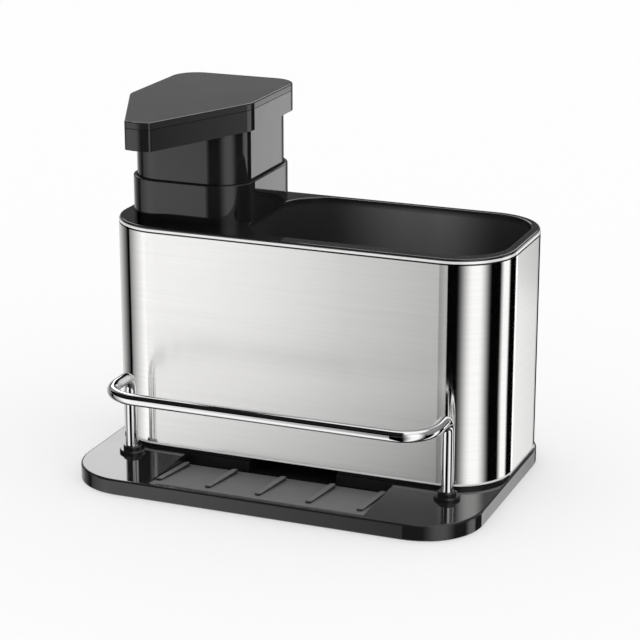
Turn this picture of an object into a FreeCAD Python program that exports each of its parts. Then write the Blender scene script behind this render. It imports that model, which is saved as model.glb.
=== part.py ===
"""Soap pump caddy: a steel-sleeved sink caddy with a press-down soap pump and a sponge rail.

Millimetres, +Z up, +X to the right, -Y towards the user.  The origin is on the
counter, under the middle of the base tray.
"""
import FreeCAD
import Part
import Sketcher
import math
import os

VEC = FreeCAD.Vector

# Every driving size of the caddy: alias, value and what it measures.
SIZES = (
    ("base_length", 196.0, "base tray, left to right"),
    ("base_depth", 134.5, "base tray, front to back"),
    ("base_radius", 28.0, "base tray corners"),
    ("base_thickness", 7.4, "base tray plate"),
    ("base_edge", 1.0, "rounding of the plate's upper edge"),
    ("base_foot_edge", 0.4, "rounding of the plate's lower edge"),
    ("foot_proud", 0.2, "foot pads below the plate"),
    ("foot_diameter", 14.0, "foot pads"),
    ("foot_sink", 1.2, "foot pads let into the plate"),
    ("foot_side_inset", 36.0, "foot pad centres from the plate's sides"),
    ("foot_end_inset", 22.0, "foot pad centres from the plate's front and back"),
    ("plinth_height", 1.4, "step that lifts the sleeve off the deck"),
    ("plinth_inset", 0.4, "plinth inside the sleeve's outer face"),
    ("locator_height", 2.0, "pad that centres the sleeve's lower end"),
    ("slide_gap", 0.25, "loose fit between fixed mouldings"),
    ("sleeve_depth", 87.0, "steel sleeve, front to back"),
    ("sleeve_height", 105.7, "steel sleeve"),
    ("sleeve_radius", 27.5, "steel sleeve corners, outside"),
    ("sleeve_wall", 1.0, "steel sleeve sheet"),
    ("sleeve_edge", 0.35, "rolled edge of the sheet"),
    ("bead_height", 1.05, "bead round the sleeve's upper edge"),
    ("groove_height", 0.75, "groove under that bead"),
    ("groove_depth", 0.4, "depth of that groove"),
    ("sleeve_side_gap", 0.5, "base tray's side edges beyond the sleeve"),
    ("sleeve_back_gap", 2.5, "base tray's back edge behind the sleeve"),
    ("recess_length", 104.6, "drain recess, left to right"),
    ("recess_offset", 1.5, "middle of the drain recess left of the tray's middle"),
    ("recess_front", 2.0, "deck left in front of the drain recess"),
    ("recess_gap", 0.8, "recess back wall in front of the sleeve"),
    ("recess_depth", 5.6, "drain recess at its back wall"),
    ("rib_pitch", 24.6, "between drain ribs"),
    ("rib_count", 5.0, "drain ribs"),
    ("rib_width", 2.8, "drain ribs"),
    ("rib_front_height", 0.8, "drain ribs above the sloping floor, at their front ends"),
    ("rib_back_height", 1.8, "drain ribs above the sloping floor, at their back ends"),
    ("rib_root", 0.8, "drain ribs let into the floor at their back ends"),
    ("rib_offset", 2.7, "middle drain rib left of the tray's middle"),
    ("rib_front", 6.7, "rib ends behind the recess's front edge"),
    ("rib_back", 3.0, "rib ends in front of the recess's back wall"),
    ("drain_width", 44.0, "channel under the sleeve into the recess"),
    ("wire_diameter", 5.5, "sponge rail wire"),
    ("rail_side", 19.6, "rail posts' centres from the base tray's sides"),
    ("post_gap", 8.9, "rail posts' centres in front of the sleeve"),
    ("bar_reach", 30.3, "rail bar in front of the posts"),
    ("bar_height", 38.0, "rail bar above the deck"),
    ("rail_corner", 16.0, "rail corners in plan, on the wire's centre"),
    ("rail_bend", 6.4, "bend from each post into the rail"),
    ("bush_flange", 12.2, "rail bush flange diameter"),
    ("bush_flange_height", 1.6, "rail bush flange"),
    ("bush_collar", 8.6, "rail bush upper collar diameter"),
    ("bush_collar_height", 1.9, "rail bush collar above its flange"),
    ("bush_shank", 8.0, "rail bush shank in the base tray"),
    ("nut_flats", 8.0, "rail nut across its flats"),
    ("nut_height", 2.6, "rail nut"),
    ("nut_pocket", 10.6, "pocket under the plate for a rail nut"),
    ("nut_sink", 3.2, "depth of that pocket"),
    ("rim_rise", 1.0, "liner rim above the sleeve"),
    ("rim_inset", 0.4, "liner rim inside the sleeve's outer face"),
    ("rim_edge", 0.7, "rounding of the liner's rim"),
    ("deck_thickness", 3.0, "liner's top plate below the sleeve's edge"),
    ("liner_wall", 1.8, "liner's cup walls"),
    ("floor_thickness", 1.8, "liner's cup floors"),
    ("boss_height", 8.2, "screw bosses under the cup floors"),
    ("boss_diameter", 8.0, "screw bosses"),
    ("boss_side", 51.5, "screw bosses from the sleeve's sides"),
    ("boss_end", 21.5, "screw bosses from the sleeve's front and back"),
    ("compartment_right", 4.6, "rim to the right of the compartment"),
    ("compartment_front", 7.8, "rim in front of the compartment"),
    ("compartment_back", 4.0, "rim behind the compartment"),
    ("compartment_radius", 22.5, "compartment corners"),
    ("compartment_lip", 0.6, "rounding of the compartment's upper edge"),
    ("divider_wall", 1.7, "wall between the pump bay and the compartment"),
    ("drain_hole", 5.0, "compartment floor drain holes"),
    ("drain_pitch", 14.0, "between the drain holes"),
    ("drain_setback", 12.0, "drain holes in front of the sleeve's middle"),
    ("drain_side", 31.9, "middle drain hole from the compartment's left wall"),
    ("screw_diameter", 3.0, "base screw shank"),
    ("screw_head", 6.0, "base screw head diameter"),
    ("screw_head_height", 2.0, "base screw head"),
    ("screw_sink", 3.4, "counterbore for a base screw"),
    ("screw_bite", 5.5, "base screw in its boss"),
    ("screw_clear", 0.2, "room round a screw in its hole"),
    ("collar_width", 60.8, "pump collar, left to right"),
    ("collar_side", 5.5, "rim to the left of the pump collar"),
    ("collar_front", 13.3, "rim in front of the pump collar"),
    ("collar_back", 3.1, "rim behind the pump collar"),
    ("collar_height", 18.7, "pump collar above the deck"),
    ("collar_radius", 17.4, "pump collar corners"),
    ("collar_wall", 1.5, "pump collar wall"),
    ("collar_floor", 2.0, "pump collar floor"),
    ("collar_ledge", 2.4, "deck that the collar stands on, round the pump bay"),
    ("collar_edge", 0.5, "rounding of the collar's top edge"),
    ("bay_radius", 16.0, "pump bay corners"),
    ("reservoir_gap", 0.5, "room round the reservoir in its bay"),
    ("reservoir_wall", 1.6, "reservoir wall and floor"),
    ("reservoir_drop", 1.5, "reservoir mouth below the deck"),
    ("plug_gap", 0.9, "room round the collar's plug in the reservoir"),
    ("plug_wall", 1.6, "collar's plug wall"),
    ("plug_depth", 8.0, "collar's plug in the reservoir's mouth"),
    ("gasket_height", 3.0, "mouth gasket"),
    ("gasket_lift", 1.2, "mouth gasket above the plug's lower edge"),
    ("gasket_fit", 0.08, "mouth gasket to the reservoir wall"),
    ("plunger_gap", 0.35, "room round the plunger in the collar"),
    ("plunger_wall", 1.6, "plunger wall"),
    ("plunger_top", 2.0, "plunger's top plate"),
    ("plunger_overlap", 3.2, "plunger inside the collar at rest"),
    ("plunger_exposed", 24.6, "plunger above the collar at rest"),
    ("press_stroke", 13.0, "travel of the pump head"),
    ("cylinder_bore", 15.5, "pump cylinder bore"),
    ("cylinder_wall", 1.75, "pump cylinder wall"),
    ("cylinder_flange", 26.0, "pump cylinder flange diameter"),
    ("flange_height", 2.0, "pump cylinder flange"),
    ("cylinder_fit", 0.1, "room round the cylinder in the collar's floor"),
    ("guide_plug", 6.0, "stem guide inside the cylinder"),
    ("guide_cap", 4.0, "stem guide above the cylinder"),
    ("guide_fit", 0.03, "stem guide and ball cage in the cylinder bore"),
    ("stem_diameter", 8.0, "piston stem"),
    ("stem_bore", 4.6, "soap passage in the stem"),
    ("stem_fit", 0.08, "room round the stem in its guide"),
    ("stem_foot", 1.2, "flange that holds the seal on the stem"),
    ("stem_foot_rim", 1.5, "that flange beyond the stem"),
    ("seal_height", 8.0, "piston seal"),
    ("seal_fit", 0.05, "piston seal to the cylinder bore"),
    ("seal_lip", 1.0, "piston seal lips"),
    ("seal_cup", 2.4, "depth of the cups between the seal's lips"),
    ("seal_rest_gap", 0.5, "piston seal below the guide at rest"),
    ("sump_room", 3.0, "cylinder below the piston at full stroke"),
    ("inlet_ball_diameter", 6.0, "inlet valve ball"),
    ("inlet_room", 0.9, "room round the inlet ball"),
    ("inlet_throat", 3.6, "bore below the inlet ball"),
    ("inlet_lift", 1.5, "inlet ball travel"),
    ("throat_length", 2.0, "bore between the seat and the dip tube"),
    ("cage_height", 1.5, "ball cage"),
    ("cage_bore", 4.0, "ball cage bore"),
    ("tube_diameter", 7.0, "dip tube"),
    ("tube_bore", 4.6, "dip tube bore"),
    ("tube_socket", 8.0, "dip tube in the cylinder"),
    ("socket_wall", 1.5, "cylinder wall round the dip tube"),
    ("tube_foot", 3.0, "dip tube above the reservoir floor"),
    ("outlet_ball_diameter", 4.6, "outlet valve ball"),
    ("outlet_room", 0.4, "room round the outlet ball"),
    ("outlet_lift", 1.5, "outlet ball travel"),
    ("outlet_throat", 3.0, "bore below the outlet ball"),
    ("valve_clear", 0.03, "balls off their seats"),
    ("spring_wire", 1.2, "return spring wire"),
    ("spring_mean", 13.0, "return spring, middle of the wire"),
    ("spring_turns", 7.0, "return spring turns"),
    ("spring_seat", 0.1, "return spring off its seats"),
    ("head_side_lip", 0.7, "pump head beyond the collar's sides"),
    ("head_back_lip", 1.1, "pump head behind the collar"),
    ("shoulder_setback", 13.0, "spout taper starts behind the collar's front"),
    ("spout_overhang", 43.5, "spout end in front of the collar"),
    ("spout_half_width", 6.2, "spout end from its middle to each side"),
    ("nose_radius", 21.0, "bow of the spout's end, in plan"),
    ("head_skirt", 10.0, "pump head under its cover"),
    ("head_wall", 2.2, "pump head walls and floor"),
    ("head_corner", 12.6, "pump head back corners"),
    ("shoulder_corner", 14.0, "pump head front corners"),
    ("spout_corner", 2.2, "spout end corners"),
    ("cover_thickness", 3.0, "pump head cover"),
    ("cover_seam", 0.3, "shadow gap under the cover"),
    ("cover_edge", 0.6, "rounding of the cover's edge"),
    ("seam_inset", 0.6, "depth of that gap"),
    ("peg_fit", 0.05, "room round the cover's pegs"),
    ("peg_gap", 0.4, "cover's pegs above the head screws"),
    ("socket_diameter", 13.0, "stem socket in the head"),
    ("head_screw_side", 13.4, "head screws inside the collar's sides"),
    ("head_screw_end", 14.3, "head screws inside the collar's front and back"),
    ("head_boss", 6.4, "head screw bosses"),
    ("head_boss_height", 4.6, "head screw bosses above the head's floor"),
    ("head_screw_diameter", 2.5, "head screw shank"),
    ("head_screw_head", 4.8, "head screw head diameter"),
    ("head_screw_head_height", 1.6, "head screw head"),
    ("head_screw_bite", 5.0, "head screw above the plunger's top plate"),
    ("spout_tube_diameter", 5.6, "soap tube in the spout"),
    ("spout_tube_bore", 3.6, "soap tube bore"),
    ("tube_root", 3.0, "soap tube's end from the pump axis"),
    ("tube_end", 2.6, "soap tube's end from the nozzle's axis"),
    ("nozzle_setback", 7.4, "nozzle behind the spout's end"),
    ("nozzle_body", 9.0, "nozzle body in the spout"),
    ("nozzle_height", 6.8, "nozzle body above the spout's floor"),
    ("nozzle_tip", 6.0, "nozzle tip through the spout's floor"),
    ("nozzle_recess", 0.3, "nozzle tip inside the spout's underside"),
    ("nozzle_bore", 3.2, "nozzle bore"),
)

doc = FreeCAD.newDocument("soap_pump_caddy")
sheet = doc.addObject("Spreadsheet::Sheet", "Sizes")
for row, (alias, amount, note) in enumerate(SIZES, start=1):
    sheet.set("A%d" % row, note)
    sheet.set("B%d" % row, str(amount))
    sheet.setAlias("B%d" % row, alias)
doc.recompute()


class Size:
    """A number in millimetres together with the formula that gives it in the sheet."""

    def __init__(self, number, formula):
        self.number = number
        self.formula = formula

    def __add__(self, other):
        other = as_size(other)
        return Size(self.number + other.number, "(%s + %s)" % (self.formula, other.formula))

    def __sub__(self, other):
        other = as_size(other)
        return Size(self.number - other.number, "(%s - %s)" % (self.formula, other.formula))

    def __mul__(self, other):
        other = as_size(other)
        return Size(self.number * other.number, "(%s * %s)" % (self.formula, other.formula))

    def __truediv__(self, other):
        other = as_size(other)
        return Size(self.number / other.number, "(%s / %s)" % (self.formula, other.formula))

    def __radd__(self, other):
        return as_size(other) + self

    def __rsub__(self, other):
        return as_size(other) - self

    def __rmul__(self, other):
        return as_size(other) * self

    def __neg__(self):
        return as_size(0) - self


def as_size(item):
    """Plain numbers become sizes with themselves as formula."""
    if isinstance(item, Size):
        return item
    return Size(float(item), "%g" % item)


def arctangent(ratio):
    """Angle in degrees."""
    return Size(math.degrees(math.atan(ratio.number)), "(atan(%s) / 1 deg)" % ratio.formula)


def tangent(angle):
    """Tangent of an angle in degrees."""
    return Size(math.tan(math.radians(angle.number)), "tan(%s * 1 deg)" % angle.formula)


def other_side(longest, side):
    """Third side of a right-angled triangle."""
    square = longest * longest - side * side
    return Size(math.sqrt(square.number), "sqrt(%s)" % square.formula)


class Sheet:
    """Reads each driving size from the spreadsheet by its alias."""

    def __getattr__(self, alias):
        return Size(float(sheet.get(alias)), "Sizes.%s" % alias)


S = Sheet()

# Levels, from the counter up.
DECK_Z = S.foot_proud + S.base_thickness
PLINTH_Z = DECK_Z + S.plinth_height
LOCATOR_Z = PLINTH_Z + S.locator_height
SLEEVE_TOP = PLINTH_Z + S.sleeve_height
RIM_Z = SLEEVE_TOP + S.rim_rise
CUP_BASE = LOCATOR_Z + S.boss_height
CUP_FLOOR = CUP_BASE + S.floor_thickness
COLLAR_FLOOR_Z = RIM_Z + S.collar_floor
COLLAR_TOP = RIM_Z + S.collar_height
HEAD_Z = COLLAR_TOP + S.plunger_exposed
COVER_Z = HEAD_Z + S.head_skirt

# Places in plan.
SLEEVE_Y = S.base_depth / 2 - S.sleeve_back_gap - S.sleeve_depth / 2
SLEEVE_FRONT = SLEEVE_Y - S.sleeve_depth / 2
SLEEVE_LENGTH = S.base_length - 2 * S.sleeve_side_gap
COLLAR_DEPTH = S.sleeve_depth - S.collar_front - S.collar_back
PUMP_X = S.collar_side + S.collar_width / 2 - SLEEVE_LENGTH / 2
PUMP_Y = SLEEVE_FRONT + S.collar_front + COLLAR_DEPTH / 2
POST_X = S.base_length / 2 - S.rail_side
POST_Y = SLEEVE_FRONT - S.post_gap
FOOT_X = S.base_length / 2 - S.foot_side_inset
FOOT_Y = S.base_depth / 2 - S.foot_end_inset
BOSS_X = SLEEVE_LENGTH / 2 - S.boss_side
BOSS_ROW = S.sleeve_depth / 2 - S.boss_end
BOSSES = [(x, SLEEVE_Y + y) for x in (BOSS_X, -BOSS_X) for y in (BOSS_ROW, -BOSS_ROW)]
RECESS_FRONT_Y = S.recess_front - S.base_depth / 2
RECESS_BACK_Y = SLEEVE_FRONT - S.recess_gap
SPOUT_REACH = COLLAR_DEPTH / 2 + S.spout_overhang
NOZZLE_Y = PUMP_Y - SPOUT_REACH + S.nozzle_setback

# Hollows and what stands in them.
BAY_WIDTH = S.collar_width - 2 * S.collar_ledge
BAY_DEPTH = COLLAR_DEPTH - 2 * S.collar_ledge
RESERVOIR_WIDTH = BAY_WIDTH - 2 * S.reservoir_gap
RESERVOIR_DEPTH = BAY_DEPTH - 2 * S.reservoir_gap
RESERVOIR_RADIUS = S.bay_radius - S.reservoir_gap
MOUTH_WIDTH = RESERVOIR_WIDTH - 2 * S.reservoir_wall
MOUTH_DEPTH = RESERVOIR_DEPTH - 2 * S.reservoir_wall
MOUTH_RADIUS = RESERVOIR_RADIUS - S.reservoir_wall
PLUG_WIDTH = MOUTH_WIDTH - 2 * S.plug_gap
PLUG_DEPTH = MOUTH_DEPTH - 2 * S.plug_gap
PLUG_RADIUS = MOUTH_RADIUS - S.plug_gap
PLUNGER_INSET = S.collar_wall + S.plunger_gap
PLUNGER_BASE = COLLAR_TOP - S.plunger_overlap
COMPARTMENT_LEFT = PUMP_X + BAY_WIDTH / 2 + S.divider_wall
COMPARTMENT_RIGHT = SLEEVE_LENGTH / 2 - S.compartment_right
COMPARTMENT_FRONT_Y = SLEEVE_FRONT + S.compartment_front
COMPARTMENT_BACK_Y = SLEEVE_Y + S.sleeve_depth / 2 - S.compartment_back
COMPARTMENT_LENGTH = COMPARTMENT_RIGHT - COMPARTMENT_LEFT
COMPARTMENT_DEPTH = COMPARTMENT_BACK_Y - COMPARTMENT_FRONT_Y
COMPARTMENT_X = (COMPARTMENT_LEFT + COMPARTMENT_RIGHT) / 2
COMPARTMENT_Y = (COMPARTMENT_FRONT_Y + COMPARTMENT_BACK_Y) / 2
DRAIN_X = COMPARTMENT_LEFT + S.drain_side

# Pump internals, down from the collar's floor.
BORE_TOP = COLLAR_FLOOR_Z + S.flange_height
GUIDE_TOP = BORE_TOP + S.guide_cap
SEAL_TOP = BORE_TOP - S.guide_plug - S.seal_rest_gap
STEM_BASE = SEAL_TOP - S.seal_height - S.stem_foot
CAGE_Z = STEM_BASE - S.press_stroke - S.sump_room - S.cage_height
ROOT_TWO = math.sqrt(2)
INLET_CHAMBER = S.inlet_ball_diameter / 2 + S.inlet_room
INLET_CONE = INLET_CHAMBER - S.inlet_throat / 2
INLET_STOP = CAGE_Z - other_side(S.inlet_ball_diameter / 2, S.cage_bore / 2)
INLET_BALL_Z = INLET_STOP - S.inlet_lift
INLET_THROAT_Z = INLET_BALL_Z - S.valve_clear - S.inlet_ball_diameter / 2 * ROOT_TWO + S.inlet_throat / 2
TUBE_TOP = INLET_THROAT_Z - S.throat_length
TUBE_BASE = CUP_FLOOR + S.reservoir_wall + S.tube_foot

# Top of the stem, where the outlet ball sits under the head's socket.
STEM_TOP = HEAD_Z + S.head_wall
OUTLET_CHAMBER = S.outlet_ball_diameter / 2 + S.outlet_room
OUTLET_CONE = OUTLET_CHAMBER - S.outlet_throat / 2
OUTLET_STOP = STEM_TOP - other_side(S.outlet_ball_diameter / 2, S.spout_tube_bore / 2)
OUTLET_BALL_Z = OUTLET_STOP - S.outlet_lift
OUTLET_THROAT_Z = (OUTLET_BALL_Z - S.valve_clear - S.outlet_ball_diameter / 2 * ROOT_TWO
                   + S.outlet_throat / 2)

# Pump head.
SPOUT_Z = HEAD_Z + S.head_wall + S.nozzle_height / 2
HEAD_TOP = COVER_Z - S.cover_seam
HEAD_SIDE = S.collar_width / 2 + S.head_side_lip
HEAD_BACK = COLLAR_DEPTH / 2 + S.head_back_lip
HEAD_SHOULDER = COLLAR_DEPTH / 2 - S.shoulder_setback
NOSE_CENTRE = SPOUT_REACH - S.nose_radius
NOSE_CORNER = NOSE_CENTRE + other_side(S.nose_radius, S.spout_half_width)
TAPER = arctangent((HEAD_SIDE - S.spout_half_width) / (NOSE_CORNER - HEAD_SHOULDER))
HEAD_SCREW_X = S.collar_width / 2 - S.head_screw_side
HEAD_SCREW_ROW = COLLAR_DEPTH / 2 - S.head_screw_end
HEAD_SCREWS = [(x, y) for x in (HEAD_SCREW_X, -HEAD_SCREW_X)
               for y in (HEAD_SCREW_ROW, -HEAD_SCREW_ROW)]


def bind(item, path, amount):
    """Tie a property to the sheet."""
    item.setExpression(path, as_size(amount).formula)


def make_body(label):
    body = doc.addObject("PartDesign::Body", label)
    body.Label = label
    return body


def origin_item(body, role):
    return next(item for item in body.Origin.OriginFeatures if item.Role == role)


def make_sketch(body, name, plane="XY_Plane", at=(0, 0, 0), tilt=None):
    """A sketch in a plane parallel to one of the body's own origin planes."""
    sketch = body.newObject("Sketcher::SketchObject", name)
    sketch.AttachmentSupport = (origin_item(body, plane), [""])
    sketch.MapMode = "FlatFace"
    if tilt is not None:
        turn = FreeCAD.Rotation(VEC(1, 0, 0), tilt.number)
        sketch.AttachmentOffset = FreeCAD.Placement(VEC(0, 0, 0), turn)
        bind(sketch, "AttachmentOffset.Rotation.Angle", tilt)
    for axis, place in zip("xyz", at):
        bind(sketch, "AttachmentOffset.Base.%s" % axis, place)
    return sketch


def named_constraint(sketch, name, amount, kind, *places):
    """Add a driving constraint and tie its value to the sheet."""
    number = sketch.addConstraint(Sketcher.Constraint(kind, *places, as_size(amount).number))
    sketch.renameConstraint(number, name)
    bind(sketch, "Constraints.%s" % name, amount)


def rounded_rectangle(body, name, width, depth, radius, at=(0, 0, 0), plane="XY_Plane"):
    """A rectangle with round corners, centred on the sketch's origin."""
    sketch = make_sketch(body, name, plane, at)
    half_w, half_d, r = width.number / 2, depth.number / 2, radius.number
    corners = ((half_w, -half_d), (half_w, half_d), (-half_w, half_d), (-half_w, -half_d))
    for index, (x, y) in enumerate(corners):
        centre = VEC(math.copysign(half_w - r, x), math.copysign(half_d - r, y), 0)
        start = math.radians(90 * index - 90)
        circle = Part.Circle(centre, VEC(0, 0, 1), r)
        sketch.addGeometry(Part.ArcOfCircle(circle, start, start + math.pi / 2))
    ends = [sketch.getPoint(index, 2) for index in range(4)]
    starts = [sketch.getPoint(index, 1) for index in range(4)]
    for index in range(4):
        sketch.addGeometry(Part.LineSegment(ends[index], starts[(index + 1) % 4]))
    for index in range(4):
        line = 4 + index
        sketch.addConstraint(Sketcher.Constraint("Tangent", index, 2, line, 1))
        sketch.addConstraint(Sketcher.Constraint("Tangent", line, 2, (index + 1) % 4, 1))
        direction = "Vertical" if index % 2 == 0 else "Horizontal"
        sketch.addConstraint(Sketcher.Constraint(direction, line))
    for index in range(1, 4):
        sketch.addConstraint(Sketcher.Constraint("Equal", 0, index))
    sketch.addConstraint(Sketcher.Constraint("Symmetric", 0, 3, 2, 3, -1, 1))
    named_constraint(sketch, "width", width, "DistanceX", 6, 1, 4, 1)
    named_constraint(sketch, "depth", depth, "DistanceY", 7, 1, 5, 1)
    named_constraint(sketch, "radius", radius, "Radius", 0)
    return sketch


def polygon(body, name, points, plane="XZ_Plane", at=(0, 0, 0)):
    """A closed outline of straight lines through points given as pairs of sizes."""
    sketch = make_sketch(body, name, plane, at)
    points = [(as_size(x), as_size(y)) for x, y in points]
    corners = [VEC(x.number, y.number, 0) for x, y in points]
    count = len(points)
    for index in range(count):
        sketch.addGeometry(Part.LineSegment(corners[index], corners[(index + 1) % count]))
    for index in range(count):
        sketch.addConstraint(Sketcher.Constraint("Coincident", index, 2, (index + 1) % count, 1))
    for index, (x, y) in enumerate(points):
        for axis, amount in (("X", x), ("Y", y)):
            if amount.formula == "0":
                on_axis = -2 if axis == "X" else -1
                sketch.addConstraint(Sketcher.Constraint("PointOnObject", index, 1, on_axis))
                continue
            label = "%s%d" % (axis.lower(), index)
            named_constraint(sketch, label, amount, "Distance" + axis, -1, 1, index, 1)
    return sketch


def circles(body, name, centres, diameter, plane="XY_Plane", at=(0, 0, 0)):
    """Equal circles at places given as pairs of sizes."""
    sketch = make_sketch(body, name, plane, at)
    for index, (x, y) in enumerate(centres):
        x, y = as_size(x), as_size(y)
        centre = VEC(x.number, y.number, 0)
        sketch.addGeometry(Part.Circle(centre, VEC(0, 0, 1), diameter.number / 2))
        for axis, amount in (("X", x), ("Y", y)):
            if amount.formula == "0":
                on_axis = -2 if axis == "X" else -1
                sketch.addConstraint(Sketcher.Constraint("PointOnObject", index, 3, on_axis))
                continue
            label = "%s%d" % (axis.lower(), index)
            named_constraint(sketch, label, amount, "Distance" + axis, -1, 1, index, 3)
        if index:
            sketch.addConstraint(Sketcher.Constraint("Equal", 0, index))
    named_constraint(sketch, "diameter", diameter, "Diameter", 0)
    return sketch


def slot(body, name, length, width, at, tilt):
    """A straight slot with round ends, along the sketch's Y axis from its origin."""
    sketch = make_sketch(body, name, "XY_Plane", at, tilt)
    half, run = width.number / 2, (length - width).number
    near = Part.Circle(VEC(0, half, 0), VEC(0, 0, 1), half)
    far = Part.Circle(VEC(0, half + run, 0), VEC(0, 0, 1), half)
    sketch.addGeometry(Part.ArcOfCircle(near, math.pi, 2 * math.pi))
    sketch.addGeometry(Part.LineSegment(VEC(half, half, 0), VEC(half, half + run, 0)))
    sketch.addGeometry(Part.ArcOfCircle(far, 0, math.pi))
    sketch.addGeometry(Part.LineSegment(VEC(-half, half + run, 0), VEC(-half, half, 0)))
    for index in range(4):
        sketch.addConstraint(Sketcher.Constraint("Tangent", index, 2, (index + 1) % 4, 1))
    sketch.addConstraint(Sketcher.Constraint("Vertical", 1))
    sketch.addConstraint(Sketcher.Constraint("PointOnObject", 0, 3, -2))
    named_constraint(sketch, "width", width, "Diameter", 0)
    named_constraint(sketch, "near_end", width / 2, "DistanceY", -1, 1, 0, 3)
    named_constraint(sketch, "run", length - width, "DistanceY", 0, 3, 2, 3)
    return sketch


def settle(feature):
    """Recompute, and stop at a feature that does not build."""
    doc.recompute()
    if "Invalid" in feature.State:
        raise RuntimeError("%s did not build" % feature.Name)
    return feature


def pad(body, sketch, length, down=False, both=False):
    feature = body.newObject("PartDesign::Pad", sketch.Name + "Pad")
    feature.Profile = sketch
    bind(feature, "Length", length)
    feature.Reversed = down
    feature.Midplane = both
    return settle(feature)


def pocket(body, sketch, length, up=False, both=False):
    """Cut a sketch out of the body, and make sure that it took something away."""
    before = body.Shape.Volume
    feature = body.newObject("PartDesign::Pocket", sketch.Name + "Pocket")
    feature.Profile = sketch
    bind(feature, "Length", length)
    feature.Reversed = up
    feature.Midplane = both
    settle(feature)
    if body.Shape.Volume > before - 1e-3:
        raise RuntimeError("%s cuts nothing" % feature.Name)
    return feature


def revolve(body, sketch):
    """Turn a profile in the XZ plane round the body's vertical axis."""
    feature = body.newObject("PartDesign::Revolution", sketch.Name + "Turn")
    feature.Profile = sketch
    feature.ReferenceAxis = (origin_item(body, "Z_Axis"), [""])
    feature.Angle = 360
    return settle(feature)


def round_edges(body, name, radius, wanted):
    """Fillet the edges of the body's tip that the test picks."""
    base = body.Tip
    names = ["Edge%d" % (index + 1) for index, edge in enumerate(base.Shape.Edges) if wanted(edge)]
    feature = body.newObject("PartDesign::Fillet", name)
    feature.Base = (base, names)
    bind(feature, "Radius", radius)
    return settle(feature)


def at_level(level):
    """Test for edges that lie flat at a height."""
    return lambda edge: (abs(edge.BoundBox.ZMin - level.number) < 1e-4
                         and abs(edge.BoundBox.ZMax - level.number) < 1e-4)


def place(item, x=0, y=0, z=0):
    for axis, amount in zip("xyz", (x, y, z)):
        bind(item, "Placement.Base.%s" % axis, amount)
    doc.recompute()


def prism(label, width, depth, radius, height, x, y, z):
    """A body that starts as an upright block with round corners."""
    body = make_body(label)
    outline = rounded_rectangle(body, label + "_outline", width, depth, radius)
    pad(body, outline, height)
    place(body, x, y, z)
    return body


def mirrored_group(label, source, planes):
    """A piece and its mirror images as one group; each plane doubles the group."""
    members = [source]
    for number, (normal, offset) in enumerate(planes):
        for index, member in enumerate(list(members)):
            image = doc.addObject("Part::Mirroring", "%s_image_%d_%d" % (label, number, index))
            image.Source = member
            image.Normal = normal
            axis = "x" if normal.x else "y"
            bind(image, "Base.%s" % axis, offset)
            doc.recompute()
            members.append(image)
    group = doc.addObject("Part::Compound", label)
    group.Links = members
    group.Label = label
    doc.recompute()
    return group


MIRROR_X = VEC(1, 0, 0)
MIRROR_Y = VEC(0, 1, 0)
NODES = {}


def keep(item):
    """Register a finished piece under its label."""
    NODES[item.Label] = item


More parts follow.
